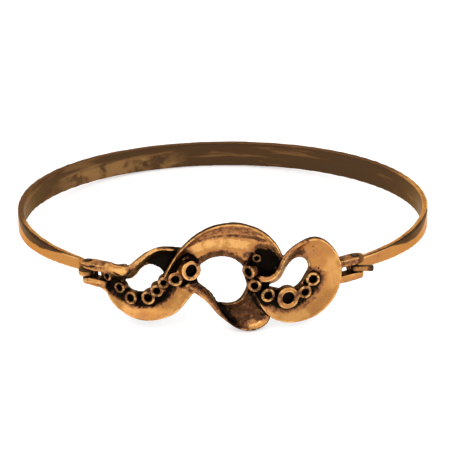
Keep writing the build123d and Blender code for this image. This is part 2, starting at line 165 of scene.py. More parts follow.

# Where patina was left on the front, and where shade and light are painted on it: how dark, how wide in mm,
# the height in shares of relief that it stays below, how deep it is cut in mm, and the stroke's points as
# shares across and up. Where dark is below 0, the bronze is made bright instead: worn bronze on the big
# ring's web and the left ribbon's wide face, painted highlights and painted reflections on the others.
Patina = namedtuple("Patina", "name dark width below depth points")
PATINA_AND_LIGHT_STROKES = [
    Patina("joint between the left ears", 1.0, 0.6, 0.15, 0.0, [(-0.94, 0.0), (-0.86, 0.01)]),
    Patina("floor below the left ribbon's start", 0.85, 0.42, 0.22, 0.0, [
        (-0.79, 0.015), (-0.745, 0.0), (-0.70, -0.02),
    ]),
    Patina("left hollow", 1.1, 1.5, 0.30, 0.0, [(-0.50, 0.35), (-0.43, 0.45), (-0.34, 0.52)]),
    Patina("left hollow's end", 1.1, 1.3, 0.30, 0.0, [
        (-0.36, 0.48), (-0.42, 0.36), (-0.465, 0.28), (-0.42, 0.16),
    ]),
    # Painted shade on the left ribbon's inner slope, below its lit face.
    Patina("left ribbon's inner side", 0.75, 0.85, 1.0, 0.0, [
        (-0.70, 0.06), (-0.665, 0.145), (-0.635, 0.20), (-0.60, 0.265), (-0.56, 0.355), (-0.525, 0.42),
    ]),
    Patina("left rings' rims", 0.52, 1.2, 1.0, 0.0, [
        (-0.85, 0.03), (-0.76, -0.115), (-0.68, -0.25), (-0.55, -0.215), (-0.48, -0.085), (-0.43, 0.055),
        (-0.345, 0.125), (-0.225, 0.29),
    ]),
    Patina("right rings' rims", 0.52, 1.2, 1.0, 0.0, [
        (0.24, 0.415), (0.175, 0.22), (0.225, 0.01), (0.325, -0.14), (0.47, -0.21), (0.595, -0.16),
        (0.65, 0.03),
    ]),
    Patina("upper left ear", 0.38, 0.8, 1.0, 0.0, [(-1.0, 0.18), (-0.93, 0.15), (-0.88, 0.17)]),
    Patina("upper left ear's line", 0.8, 0.18, 1.0, 0.0, [(-1.025, 0.13), (-0.99, 0.118), (-0.944, 0.137)]),
    Patina("lower left ear's foot", 0.7, 0.25, 1.0, 0.0, [
        (-1.034, -0.20), (-0.996, -0.212), (-0.935, -0.20), (-0.89, -0.20),
    ]),
    Patina("lower left ear", 0.36, 0.8, 1.0, 0.0, [(-1.0, -0.15), (-0.90, -0.17)]),
    Patina("upper right ear", 0.45, 0.8, 1.0, 0.0, [(0.88, 0.17), (0.95, 0.15), (1.0, 0.18)]),
    Patina("lower right ear", 0.36, 0.8, 1.0, 0.0, [(0.90, -0.16), (1.0, -0.15)]),
    Patina("left channel", 0.68, 1.05, 0.40, 0.0, [
        (-0.87, -0.06), (-0.82, -0.17), (-0.74, -0.28), (-0.64, -0.34), (-0.53, -0.32), (-0.44, -0.22),
        (-0.38, -0.08),
    ]),
    Patina("arch's crease", 0.55, 0.40, 1.0, 0.05, [
        (-0.24, 0.64), (-0.17, 0.71), (-0.10, 0.755), (-0.03, 0.79), (0.05, 0.80), (0.13, 0.79),
        (0.21, 0.75), (0.29, 0.69),
    ]),
    Patina("arch's slope", 0.40, 0.9, 1.0, 0.0, [
        (-0.25, 0.72), (-0.19, 0.80), (-0.10, 0.86), (-0.02, 0.90), (0.06, 0.91), (0.16, 0.88),
        (0.25, 0.80),
    ]),
    Patina("arch's left edge", 0.38, 0.7, 1.0, 0.0, [
        (-0.34, 0.46), (-0.30, 0.58), (-0.24, 0.72), (-0.17, 0.83),
    ]),
    Patina("arch's inner roll", 0.64, 0.75, 1.0, 0.0, [
        (-0.173, 0.385), (-0.127, 0.46), (-0.08, 0.51), (-0.035, 0.53), (0.01, 0.53), (0.056, 0.50),
        (0.10, 0.435), (0.14, 0.35),
    ]),
    Patina("arch's black end", 0.98, 2.4, -0.12, 0.0, [(0.26, 0.46), (0.31, 0.36), (0.28, 0.22)]),
    Patina("black end's right side", 1.1, 0.8, 1.0, 0.0, [
        (0.32, 0.49), (0.36, 0.42), (0.375, 0.33), (0.35, 0.25),
    ]),
    Patina("black end's border", 0.48, 0.75, 1.0, 0.0, [
        (0.165, 0.47), (0.215, 0.55), (0.285, 0.585), (0.35, 0.55), (0.39, 0.475), (0.41, 0.37),
        (0.405, 0.265),
    ]),
    Patina("channel round the big ring", 1.2, 0.34, 0.45, 0.05, [
        (-0.38, 0.21), (-0.34, 0.34), (-0.298, 0.455), (-0.26, 0.49), (-0.223, 0.465), (-0.19, 0.405),
    ]),
    Patina("under the big ring", 1.1, 0.30, 0.35, 0.0, [(-0.29, 0.09), (-0.24, 0.075), (-0.19, 0.085)]),
    # Painted shade above the crescent's horn.
    Patina("above the crescent's horn", 0.5, 0.45, 1.0, 0.0, [
        (-0.314, -0.02), (-0.27, -0.033), (-0.235, -0.065),
    ]),
    Patina("dish", 0.58, 2.4, 0.15, 0.0, [
        (0.00, -0.31), (0.04, -0.39), (0.08, -0.49), (0.13, -0.50), (0.16, -0.36), (0.16, -0.20),
    ]),
    Patina("dish's right part", 0.55, 1.3, 1.0, 0.0, [(0.162, -0.386), (0.215, -0.47), (0.255, -0.54)]),
    Patina("dish's edge", 0.9, 0.28, 1.0, 0.0, [
        (0.215, -0.22), (0.24, -0.37), (0.28, -0.45), (0.315, -0.505), (0.345, -0.55),
    ]),
    Patina("dish's outer rim", 0.62, 0.28, 1.0, 0.0, [
        (0.059, -0.61), (0.102, -0.69), (0.153, -0.725), (0.204, -0.731), (0.262, -0.707), (0.32, -0.635),
        (0.35, -0.535),
    ]),
    Patina("twist", 0.75, 0.60, 1.0, 0.0, [
        (-0.226, 0.03), (-0.175, 0.005), (-0.13, -0.055), (-0.093, -0.135), (-0.057, -0.225),
        (-0.03, -0.31), (0.006, -0.42), (0.052, -0.55), (0.098, -0.66),
    ]),
    Patina("twist's lower strand", 0.42, 0.8, 1.0, 0.0, [
        (-0.235, 0.0), (-0.18, -0.07), (-0.12, -0.17), (-0.08, -0.29), (-0.03, -0.42), (0.03, -0.58),
    ]),
    Patina("right channel", 0.72, 0.85, 0.40, 0.0, [
        (0.23, -0.12), (0.28, -0.26), (0.36, -0.30), (0.48, -0.38), (0.59, -0.29), (0.66, -0.14),
        (0.68, 0.02),
    ]),
    Patina("right channel's ragged border", 0.36, 0.9, 1.0, 0.0, [
        (0.32, -0.34), (0.415, -0.41), (0.51, -0.41), (0.60, -0.34), (0.655, -0.24), (0.70, -0.10),
        (0.705, 0.06),
    ]),
    Patina("right hole's edge", 0.45, 0.45, 1.0, 0.0, [
        (0.57, 0.45), (0.61, 0.31), (0.62, 0.17), (0.59, 0.02),
    ]),
    Patina("right ribbon's roll", 0.42, 0.8, 1.0, 0.0, [
        (0.42, 0.34), (0.46, 0.48), (0.50, 0.58), (0.55, 0.65), (0.60, 0.69),
    ]),
    Patina("right ribbon's inner side", 0.55, 0.8, 0.45, 0.0, [(0.46, 0.27), (0.51, 0.43), (0.57, 0.45)]),
    Patina("web of the big ring", -0.6, 0.32, 1.0, 0.0, [(-0.28, 0.40), (-0.303, 0.325), (-0.323, 0.255)]),
    # Painted highlight on the dish's lower rim.
    Patina("dish's bright rim", -1.0, 0.30, 1.0, 0.0, [(0.19, -0.684), (0.234, -0.666), (0.27, -0.63)]),
    # Painted reflection on the arch's band.
    Patina("arch's bright band", -0.75, 1.0, 1.0, 0.0, [
        (-0.20, 0.60), (-0.13, 0.65), (-0.05, 0.69), (0.04, 0.70), (0.13, 0.66), (0.18, 0.62),
    ]),
    Patina("left ribbon's wide face", -0.8, 0.55, 1.0, 0.0, [
        (-0.844, 0.184), (-0.80, 0.17), (-0.756, 0.155), (-0.72, 0.175),
    ]),
    # Painted highlight along the arch's upper right edge.
    Patina("arch's bright line", -0.8, 0.22, 1.0, 0.0, [
        (0.25, 0.80), (0.313, 0.717), (0.363, 0.613), (0.396, 0.504),
    ]),
    # Painted reflection on the twist's lower strand.
    Patina("twist's light strand", -0.35, 0.22, 1.0, 0.0, [
        (-0.235, -0.02), (-0.176, -0.09), (-0.121, -0.19), (-0.084, -0.29),
    ]),
    # Painted highlight on the twist's edge.
    Patina("twist's bright line", -0.9, 0.16, 1.0, 0.0, [
        (-0.057, -0.143), (-0.041, -0.185), (-0.021, -0.243),
    ]),
    # Painted highlight along the left ribbon's outer edge.
    Patina("left ribbon's light line", -0.9, 0.18, 1.0, 0.0, [
        (-0.673, 0.257), (-0.635, 0.323), (-0.60, 0.38), (-0.568, 0.44), (-0.53, 0.507), (-0.48, 0.57),
    ]),
    # Painted highlights on the left ears.
    Patina("upper left ear's light", -0.9, 0.15, 1.0, 0.0, [(-1.03, 0.15), (-0.989, 0.158)]),
    Patina("lower left ear's light", -0.8, 0.18, 1.0, 0.0, [
        (-1.03, -0.132), (-0.964, -0.116), (-0.90, -0.107),
    ]),
]


class CastFrontSettings(bpy.types.PropertyGroup):
    """How finely the front is cast and how its surface was worked."""

    grain: FloatProperty(
        name="Casting Grain", description="Size of the finest form that the casting holds",
        default=0.13 * MM, min=0.05 * MM, unit="LENGTH",
    )
    softening: IntProperty(
        name="Softening", description="Rounds of tumbling that take the edges off", default=4, min=0,
    )
    regain: FloatProperty(
        name="Regain", description="How far the surface is let out again after the softening",
        default=0.03 * MM, min=0, unit="LENGTH",
    )
    unevenness: FloatProperty(
        name="Unevenness", description="How far the hand-worked wax swells and dips",
        default=0.05 * MM, min=0, unit="LENGTH",
    )
    hollow_reach: FloatProperty(
        name="Hollow Reach", description="How far off a wall can stand and still keep patina in a hollow",
        default=3 * MM, min=0.1 * MM, unit="LENGTH",
    )
    worn_edge: FloatProperty(
        name="Worn Edge", description="How proud an edge stands where it is rubbed fully bright",
        default=0.05 * MM, min=0.001 * MM, unit="LENGTH",
    )


class BandSettings(bpy.types.PropertyGroup):
    """How finely the band is made and how it has worn."""

    grain: FloatProperty(
        name="Band Grain", description="Size of the finest form that the band holds",
        default=0.15 * MM, min=0.05 * MM, unit="LENGTH",
    )
    softening: IntProperty(
        name="Band Softening", description="Rounds of filing that take the edges off", default=6, min=0,
    )
    unevenness: FloatProperty(
        name="Band Unevenness", description="How far the forged strip swells and dips",
        default=0.03 * MM, min=0, unit="LENGTH",
    )
    hollow_reach: FloatProperty(
        name="Band Hollow Reach", description="How far off a wall can stand and still keep patina",
        default=2.5 * MM, min=0.1 * MM, unit="LENGTH",
    )
    worn_edge: FloatProperty(
        name="Band Worn Edge", description="How proud an edge stands where it is rubbed fully bright",
        default=0.06 * MM, min=0.001 * MM, unit="LENGTH",
    )


class ClaspSettings(bpy.types.PropertyGroup):
    """How finely the hinge pin and the clasp bar are made."""

    grain: FloatProperty(
        name="Clasp Grain", description="Size of the finest form that the pin and bar hold",
        default=0.05 * MM, min=0.02 * MM, unit="LENGTH",
    )
    softening: IntProperty(
        name="Clasp Softening", description="Rounds of filing that take the edges off", default=30, min=0,
    )
    hollow_reach: FloatProperty(
        name="Clasp Hollow Reach", description="How far off a wall can stand and still keep patina",
        default=1.5 * MM, min=0.1 * MM, unit="LENGTH",
    )
    worn_edge: FloatProperty(
        name="Clasp Worn Edge", description="How proud an edge stands where it is rubbed fully bright",
        default=0.03 * MM, min=0.001 * MM, unit="LENGTH",
    )


class BronzeSettings(bpy.types.PropertyGroup):
    """The bronze's colours, from polished metal to the black left in the hollows."""

    polished: FloatVectorProperty(
        name="Polished", description="Colour of the rubbed high places", subtype="COLOR",
        default=(0.47, 0.205, 0.055), min=0, max=1,
    )
    # Also the colour of painted highlights and painted reflections.
    rubbed_and_highlight: FloatVectorProperty(
        name="Rubbed", description="Colour of the worn edges", subtype="COLOR",
        default=(0.88, 0.48, 0.165), min=0, max=1,
    )
    rose: FloatVectorProperty(
        name="Rose", description="Colour of the copper-red clouds", subtype="COLOR",
        default=(0.33, 0.13, 0.058), min=0, max=1,
    )
    brown: FloatVectorProperty(
        name="Brown Patina", description="Colour of the thin patina", subtype="COLOR",
        default=(0.080, 0.031, 0.012), min=0, max=1,
    )
    black: FloatVectorProperty(
        name="Black Patina", description="Colour of the thick patina in the hollows", subtype="COLOR",
        default=(0.006, 0.004, 0.003), min=0, max=1,
    )
    inside: FloatVectorProperty(
        name="Band Inside", description="Colour of the band's unpolished inside", subtype="COLOR",
        default=(0.066, 0.034, 0.014), min=0, max=1,
    )
    # Also the colour of the painted light low on the band's inside at the back, and of its lighter streaks.
    inside_sheen_and_streaks: FloatVectorProperty(
        name="Band Inside, Rubbed", description="Colour of the inside where it was rubbed", subtype="COLOR",
        default=(0.23, 0.118, 0.042), min=0, max=1,
    )


class StudioSettings(bpy.types.PropertyGroup):
    """The floor, the lights and the camera."""

    elevation: FloatProperty(
        name="Elevation", description="Camera's height above the bangle's own plane",
        default=radians(24), subtype="ANGLE",
    )
    lean: FloatProperty(
        name="Lean", description="How far the camera is turned about its own axis",
        default=radians(-0.573), subtype="ANGLE",
    )
    distance: FloatProperty(
        name="Distance", description="From the camera to the middle of the bangle", default=0.3,
        min=0.05, subtype="DISTANCE",
    )
    frame_width: FloatProperty(
        name="Frame Width", description="Width that the picture takes in at that distance",
        default=0.07042, min=0.01, unit="LENGTH",
    )
    key_power: FloatProperty(
        name="Key Power", description="Power of the soft light at the upper left", default=0.55, min=0,
        unit="POWER",
    )
    room_light: FloatProperty(
        name="Room Light", description="Brightness of the room round the floor", default=1.0, min=0,
    )
    floor: FloatVectorProperty(
        name="Floor", description="Colour of the floor", subtype="COLOR",
        default=(0.75, 0.75, 0.75), min=0, max=1,
    )
    floor_glow: FloatProperty(
        name="Floor Glow", description="Light that comes through the pale floor", default=0.4, min=0,
    )


class Value:
    """A shader socket that reads as a number or a colour in an expression."""

    def __init__(self, shader, socket):
        self.shader = shader
        self.socket = socket

    def math(self, operation, *others):
        """A Math node on this value and the others, in order."""
        return self.shader.node("ShaderNodeMath", {"operation": operation}, 0, self, *others)

    def __add__(self, other):
        return self.math("ADD", other)

    def __radd__(self, other):
        return self.math("ADD", other)

    def __sub__(self, other):
        return self.math("SUBTRACT", other)

    def __rsub__(self, other):
        return self.math("MULTIPLY_ADD", -1.0, other)

    def __mul__(self, other):
        return self.math("MULTIPLY", other)

    def __rmul__(self, other):
        return self.math("MULTIPLY", other)

    def step(self, low, high):
        """0 below low and 1 above high, with a smooth rise between."""
        settings = {"interpolation_type": "SMOOTHSTEP"}
        return self.shader.node("ShaderNodeMapRange", settings, 0, self, low, high, 0.0, 1.0)


class Shader:
    """A material's nodes, made as they are asked for."""

    def __init__(self, name):
        self.material = bpy.data.materials.new(name)
        self.material.use_nodes = True
        self.tree = self.material.node_tree
        self.tree.nodes.clear()

    def node(self, kind, settings, output, *values, **named):
        """One node of a kind: its settings first, then its sockets by order or by name."""
        made = self.tree.nodes.new(kind)
        for key, setting in settings.items():
            setattr(made, key, setting)
        for key, given in [*enumerate(values), *named.items()]:
            socket = made.inputs[key if isinstance(key, int) else key.replace("_", " ")]
            if isinstance(given, Value):
                self.tree.links.new(given.socket, socket)
            else:
                socket.default_value = given
        return Value(self, made.outputs[output])

    def mix(self, share, first, second):
        """The colour that is first where share is 0 and second where it is 1."""
        made = self.tree.nodes.new("ShaderNodeMix")
        made.data_type = "RGBA"
        self.tree.links.new(share.socket, made.inputs[0])
        for key, given in ((6, first), (7, second)):
            if isinstance(given, Value):
                self.tree.links.new(given.socket, made.inputs[key])
            else:
                made.inputs[key].default_value = (*given[:3], 1)
        return Value(self, made.outputs[2])

    def place(self, size, stretch=(1, 1, 1)):
        """Object coordinates in which one unit is size metres, stretched along each axis."""
        spot = self.node("ShaderNodeTexCoord", {}, "Object")
        scale = tuple(1 / (size * share) for share in stretch)
        return self.node("ShaderNodeMapping", {}, 0, spot, Scale=scale)

    def clouds(self, size, detail=3.0, rough=0.55, stretch=(1, 1, 1), warp=0.0):
        """Noise from 0 to 1 whose blotches are about size metres across."""
        return self.node(
            "ShaderNodeTexNoise", {}, "Fac", Vector=self.place(size, stretch), Scale=1.0,
            Detail=detail, Roughness=rough, Distortion=warp,
        )

    def specks(self, size, where):
        """1 on scattered specks, a few to each size metres, where the other value is high."""
        away = self.node("ShaderNodeTexVoronoi", {}, "Distance", Vector=self.place(size), Scale=1.0)
        return (1 - away.step(0.08, 0.20)) * where

    def mark(self, name):
        """A value that was laid on the mesh's points."""
        return self.node("ShaderNodeAttribute", {"attribute_name": name}, "Fac")

    def finish(self, colour, metallic, roughness, height, depth, glow=0.0, gleam=BRONZE_GLEAM):
        """Closes the material, with a bump as deep as depth metres, its glow and its gleam's colour."""
        bump = self.node("ShaderNodeBump", {}, 0, Strength=1.0, Distance=depth, Height=height)
        surface = self.node(
            "ShaderNodeBsdfPrincipled", {}, 0, Base_Color=colour, Metallic=metallic,
            Roughness=roughness, Normal=bump, Emission_Strength=glow, Specular_Tint=gleam,
        )
        out = self.tree.nodes.new("ShaderNodeOutputMaterial")
        self.tree.links.new(surface.socket, out.inputs["Surface"])
        return self.material


def cast_bronze(colours):
    """The front's bronze: polished high places, worn edges and painted highlights, brown slopes and painted
    shade, black hollows.
    """
    s = Shader("cast bronze")
    patina = s.mark("patina")
    wear_and_highlight = s.mark("wear_and_highlight")
    blotches = s.clouds(1.6 * MM, 4, 0.6, warp=0.4)
    speckle = s.clouds(0.22 * MM, 3, 0.7)
    cloud = s.clouds(3.5 * MM, 3, 0.5, warp=0.6)
    mottle = s.clouds(0.6 * MM, 2, 0.5)
    # Patina, with the painted shade that the patina mark also carries, broken by noise; brown and black
    # follow from it.
    patina_and_shade = patina + (blotches - 0.5) * 0.5 + (mottle - 0.5) * 0.6 + (speckle - 0.5) * 0.5 - wear_and_highlight * 0.1
    rose = patina_and_shade.step(0.08, 0.34)
    brown = patina_and_shade.step(0.28, 0.56)
    black = patina_and_shade.step(0.55, 0.85)
    specks = s.specks(1.1 * MM, cloud.step(0.48, 0.60))
    metal = s.mix(cloud.step(0.42, 0.72) * 0.5, colours.polished, colours.rose)
    metal = s.mix((1 - cloud.step(0.32, 0.50)) * 0.35, metal, colours.rubbed_and_highlight)
    metal = s.mix(rose * 0.7, metal, colours.rose)
    # Worn edges and painted highlights, in the worn-edge colour.
    metal = s.mix(wear_and_highlight.step(0.35, 1.0) * blotches.step(0.38, 0.56) * 0.8, metal, colours.rubbed_and_highlight)
    metal = s.mix(specks * 0.7, metal, colours.brown)
    colour = s.mix(brown * 0.92, metal, colours.brown)
    colour = s.mix(black, colour, colours.black)
    metallic = 1 - brown * 0.2 + black * 0.15
    roughness = 0.20 + cloud * 0.12 + brown * 0.14 + black * 0.06 + specks * 0.2
    scratches = s.clouds(0.12 * MM, 2, 0.5, stretch=(9, 9, 1))
    height = speckle * 0.6 + scratches * 0.4 - specks * 0.6
    return s.finish(colour, metallic, roughness, height, 0.03 * MM)


def band_bronze(colours):
    """The band's bronze: a brushed, pitted outside with a painted shadow below its rim, and a brown
    unpolished inside with painted light.
    """
    s = Shader("band bronze")
    patina = s.mark("patina")
    wear_and_highlight = s.mark("wear_and_highlight")
    inside = s.mark("inside")
    rubbed_and_highlight = s.mark("rubbed_and_highlight")
    blotches = s.clouds(3 * MM, 4, 0.6, warp=0.5)
    speckle = s.clouds(0.25 * MM, 3, 0.7)
    cloud = s.clouds(7.5 * MM, 3, 0.5, warp=0.8)
    # Patina, with the painted shadow below the upper rim that the patina mark also carries.
    patina_and_shade = patina + (blotches - 0.5) * 0.35 + (speckle - 0.5) * 0.4
    brown = patina_and_shade.step(0.30, 0.62)
    specks = s.specks(2.1 * MM, blotches.step(0.5, 0.62))
    metal = s.mix(cloud.step(0.40, 0.75) * 0.55, colours.polished, colours.rose)
    metal = s.mix(wear_and_highlight.step(0.4, 1.0) * 0.6, metal, colours.rubbed_and_highlight)
    metal = s.mix(specks * 0.8, metal, colours.brown)
    metal = s.mix(brown * 0.97, metal, colours.brown)
    metal = s.mix(patina_and_shade.step(0.75, 1.05) * 0.75, metal, colours.black)
    streaks = s.clouds(1.2 * MM, 3, 0.55, stretch=(9, 9, 1), warp=0.3)
    inside_tone = s.mix(streaks.step(0.35, 0.70) * 0.55, colours.inside, colours.brown)
    # Painted light on the lower inside at the back, broken by blotches, and lighter random streaks.
    sheen_and_streaks = blotches.step(0.38, 0.60) * rubbed_and_highlight + streaks.step(0.54, 0.66) * 0.45
    inside_tone = s.mix(sheen_and_streaks, inside_tone, colours.inside_sheen_and_streaks)
    inside_tone = s.mix(specks * 0.8, inside_tone, colours.brown)
    inside_tone = s.mix(wear_and_highlight.step(0.3, 0.9) * 0.5, inside_tone, colours.polished)
    colour = s.mix(inside, metal, inside_tone)
    metallic = 1 - brown * 0.2 - inside * 0.15
    roughness = 0.22 + cloud * 0.12 + brown * 0.14 + inside * 0.10 + specks * 0.15
    brushing = s.clouds(0.1 * MM, 2, 0.5, stretch=(12, 12, 1))
    height = speckle * 0.5 + brushing * 0.5 - specks * 0.8
    return s.finish(colour, metallic, roughness, height, 0.02 * MM)


def wrought_bronze(colours):
    """The pin's and the clasp bar's bronze: worn bright, with brown in the joints and painted shade on its
    sides and the tab's end.
    """
    s = Shader("wrought bronze")
    patina = s.mark("patina")
    wear_and_highlight = s.mark("wear_and_highlight")
    blotches = s.clouds(0.9 * MM, 3, 0.6)
    speckle = s.clouds(0.18 * MM, 3, 0.7)
    # Patina, with the painted shade on the sides and the tab's end that the patina mark also carries.
    patina_and_shade = patina + (blotches - 0.5) * 0.6 + (speckle - 0.5) * 0.4
    brown = patina_and_shade.step(0.25, 0.55)
    black = patina_and_shade.step(0.60, 0.85)
    metal = s.mix(blotches.step(0.45, 0.75) * 0.5, colours.polished, colours.rose)
    metal = s.mix(wear_and_highlight.step(0.4, 1.0) * 0.7, metal, colours.rubbed_and_highlight)
    colour = s.mix(brown * 0.9, metal, colours.brown)
    colour = s.mix(black, colour, colours.black)
    metallic = 1 - brown * 0.2 - black * 0.3
    roughness = 0.22 + blotches * 0.12 + brown * 0.15
    return s.finish(colour, metallic, roughness, speckle, 0.02 * MM)


def on_front(across, up, out):
    """A place on the curved front in the bangle's own frame, from shares."""
    x = across * FRONT_HALF
    return Vector((x, FRONT_CENTRE - sqrt(FRONT_BEND**2 - x**2) - out * RELIEF, up * FRONT_RISE))


def way_to_rest():
    """The turn and the shift that lay the bangle's own frame as it rests, read from its hinge."""
    hinge = frame["joints"][0]
    up = -Vector(hinge["axis"])
    turn = Matrix.Rotation(-atan2(up.y, up.z), 3, "X") @ Matrix.Rotation(-asin(-up.x), 3, "Y")
    return turn, Vector(hinge["pos_m"]) - turn @ on_front(*HINGE_SHARE)


TURN, SHIFT = way_to_rest()


def laid(place):
    """A place in the bangle's own frame, where it lies at rest."""
    return TURN @ Vector(place) + SHIFT


def smooth_line(points, steps):
    """A smooth line through the points, with a number of steps between each two."""
    knots = np.array([points[0], *points, points[-1]], dtype=float)
    line = [knots[1]]
    for a, b, c, d in zip(knots, knots[1:], knots[2:], knots[3:]):
        for t in np.linspace(0, 1, steps + 1)[1:]:
            bend = 2 * a - 5 * b + 4 * c - d + t * (3 * (b - c) + d - a)
            line.append(b + t / 2 * (c - a + t * bend))
    return np.array(line)


def merged_copy(node):
    """A bmesh of a frame node's shape, with its loose triangles merged."""
    bm = bmesh.new()
    bm.from_mesh(frame["nodes"][node].data)
    bmesh.ops.remove_doubles(bm, verts=bm.verts, dist=1e-7)
    return bm


def lay_wax(bm, wax):
    """Adds a stroke of wax to the bmesh, as balls along its line."""
    for across, up, out, radius in smooth_line(wax.points, 10):
        spot = Matrix.Translation(laid(on_front(across, up, out))) @ TURN.to_4x4()
        size = Matrix.Diagonal((radius * MM, radius * wax.flat * MM, radius * MM, 1))
        bmesh.ops.create_icosphere(bm, subdivisions=2, radius=1, matrix=spot @ size)


def lay_plate(bm, corners):
    """Adds a rounded plate of wax to the bmesh, stretched over the balls at its corners."""
    ball = bmesh.new()
    bmesh.ops.create_icosphere(ball, subdivisions=2, radius=1)
    skin = bmesh.new()
    for across, up, out, radius in corners:
        for spot in ball.verts:
            skin.verts.new(laid(on_front(across, up, out)) + spot.co * radius * MM)
    ball.free()
    bmesh.ops.convex_hull(skin, input=skin.verts)
    bmesh.ops.delete(skin, geom=[spot for spot in skin.verts if not spot.link_faces], context="VERTS")
    plate = bpy.data.meshes.new("plate")
    skin.to_mesh(plate)
    skin.free()
    bm.from_mesh(plate)
    bpy.data.meshes.remove(plate)


def recast(bm, name, grain, softening):
    """One skin over everything in the bmesh, as fine as grain, with its edges softened."""
    rough = bpy.data.meshes.new(name + " rough")
    bm.to_mesh(rough)
    bm.free()
    holder = bpy.data.objects.new(name + " rough", rough)
    bpy.context.scene.collection.objects.link(holder)
    skin = holder.modifiers.new("skin", "REMESH")
    skin.mode = "VOXEL"
    skin.voxel_size = grain
    depsgraph = bpy.context.evaluated_depsgraph_get()
    mesh = bpy.data.meshes.new_from_object(holder.evaluated_get(depsgraph))
    bpy.data.objects.remove(holder)
    bpy.data.meshes.remove(rough)
    if not mesh.polygons:
        raise RuntimeError(name + " has no skin")
    bm = bmesh.new()
    bm.from_mesh(mesh)
    for _ in range(softening):
        bmesh.ops.smooth_vert(
            bm, verts=bm.verts, factor=0.5, use_axis_x=True, use_axis_y=True, use_axis_z=True,
        )
    bmesh.ops.recalc_face_normals(bm, faces=bm.faces)
    bm.to_mesh(mesh)
    bm.free()
    mesh.name = name
    return mesh


def ramp(values, low, high):
    """0 where a value is at low and 1 where it is at high, in a straight line between the two."""
    return np.clip((values - low) / (high - low), 0, 1)


def points_of(mesh):
    """The mesh's points and their normals, as arrays."""
    places = np.zeros(len(mesh.vertices) * 3)
    mesh.vertices.foreach_get("co", places)
    normals = np.zeros(len(mesh.vertices) * 3)
    mesh.vertices.foreach_get("normal", normals)
    return places.reshape(-1, 3), normals.reshape(-1, 3)


def own_points_of(mesh):
    """The mesh's points and their normals, in the bangle's own frame."""
    places, normals = points_of(mesh)
    turn = np.array(TURN)
    return (places - np.array(SHIFT)) @ turn, normals @ turn


def let_out(mesh, lift):
    """Moves each of the mesh's points along its normal."""
    places, normals = points_of(mesh)
    mesh.vertices.foreach_set("co", (places + normals * np.reshape(lift, (-1, 1))).ravel())
    mesh.update()


def melt(mesh, spot):
    """Smooths the surface round a place on the front, less and less to the end of its reach."""
    places = points_of(mesh)[0]
    away = np.linalg.norm(places - np.array(laid(on_front(*spot.place))), axis=1) / (spot.reach * MM)
    share = ramp(away, 1, 0.375)[:, None]
    ends = edge_ends(mesh)
    ends = ends[(share[ends, 0] > 0).any(axis=1)]
    near = np.unique(ends)
    small = np.searchsorted(near, ends)
    for _ in range(spot.rounds):
        even = spread(places[near], small, 1)
        places[near] += (even - places[near]) * share[near]
    mesh.vertices.foreach_set("co", places.ravel())
    mesh.update()


def turned_away(toward):
    """How far a surface is turned from the front, from 0 where it faces it to 1 at its sides."""
    return ramp(toward, 0.78, 0.23)


def swells(mesh, size):
    """A value from -1 to 1 for each point, in soft swells of about that size."""
    return np.array([noise.noise(Vector(place) / size) for place in points_of(mesh)[0]])


def edge_ends(mesh):
    """The two points of each edge."""
    ends = np.zeros(len(mesh.edges) * 2, dtype=int)
    mesh.edges.foreach_get("vertices", ends)
    return ends.reshape(-1, 2)


def spread(values, ends, rounds):
    """The values, each evened out with its neighbours' a number of times."""
    count = np.bincount(ends.ravel(), minlength=len(values))
    if values.ndim > 1:
        count = count[:, None]
    for _ in range(rounds):
        total = np.zeros_like(values)
        np.add.at(total, ends[:, 0], values[ends[:, 1]])
        np.add.at(total, ends[:, 1], values[ends[:, 0]])
        values = (values + total / count) / 2
    return values


def everything_near(mesh, other_nodes):
    """A search tree of the mesh and of the other pieces' frame shapes."""
    corners = [vertex.co.copy() for vertex in mesh.vertices]
    faces = [tuple(face.vertices) for face in mesh.polygons]
    for node in other_nodes:
        other = frame["nodes"][node].data
        first = len(corners)
        corners += [vertex.co.copy() for vertex in other.vertices]
        faces += [tuple(first + corner for corner in face.vertices) for face in other.polygons]
    return BVHTree.FromPolygons(corners, faces)


def hollows(mesh, other_nodes, reach, rays):
    """How shut in each point is, from 0 in the open to 1 deep in a hollow."""
    places, normals = points_of(mesh)
    tree = everything_near(mesh, other_nodes)
    helper = np.where(np.abs(normals[:, 2:3]) < 0.9, [[0, 0, 1]], [[1, 0, 0]])
    first = np.cross(helper, normals)
    first /= np.linalg.norm(first, axis=1)[:, None]
    second = np.cross(normals, first)
    starts = (places + normals * 0.02 * MM).tolist()
    shut = np.zeros(len(places))
    golden = pi * (3 - sqrt(5))
    for i in range(rays):
        rise = 1 - (i + 0.5) / rays * 0.9
        side = sqrt(1 - rise**2)
        ways = (first * cos(i * golden) + second * sin(i * golden)) * side + normals * rise
        for j, way in enumerate(ways.tolist()):
            distance = tree.ray_cast(starts[j], way, reach)[3]
            if distance is not None:
                shut[j] += 1 - distance / reach
    return spread(shut / rays, edge_ends(mesh), 2)


def edges_worn(mesh, width):
    """How far each point stands out of the surface round it, from 0 to 1."""
    places, normals = points_of(mesh)
    ends = edge_ends(mesh)
    proud = np.einsum("ij,ij->i", places - spread(places, ends, 12), normals)
    return np.clip(spread(proud, ends, 1) / width, 0, 1)


def lay_mark(mesh, name, values):
    """Keeps a value for each of the mesh's points, for a material to read."""
    mark = mesh.attributes.new(name, "FLOAT", "POINT")
    mark.data.foreach_set("value", np.ascontiguousarray(values, dtype=np.float32))


def finished_piece(mesh, node, body, material):
    """The finished piece of a mesh, which rides on a body in place of the frame's node."""
    mesh.materials.clear()
    mesh.materials.append(material)
    mesh.shade_smooth()
    piece = bpy.data.objects.new(mesh.name, mesh)
    bpy.context.scene.collection.objects.link(piece)
    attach(piece, body)
    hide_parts(node)
    return piece


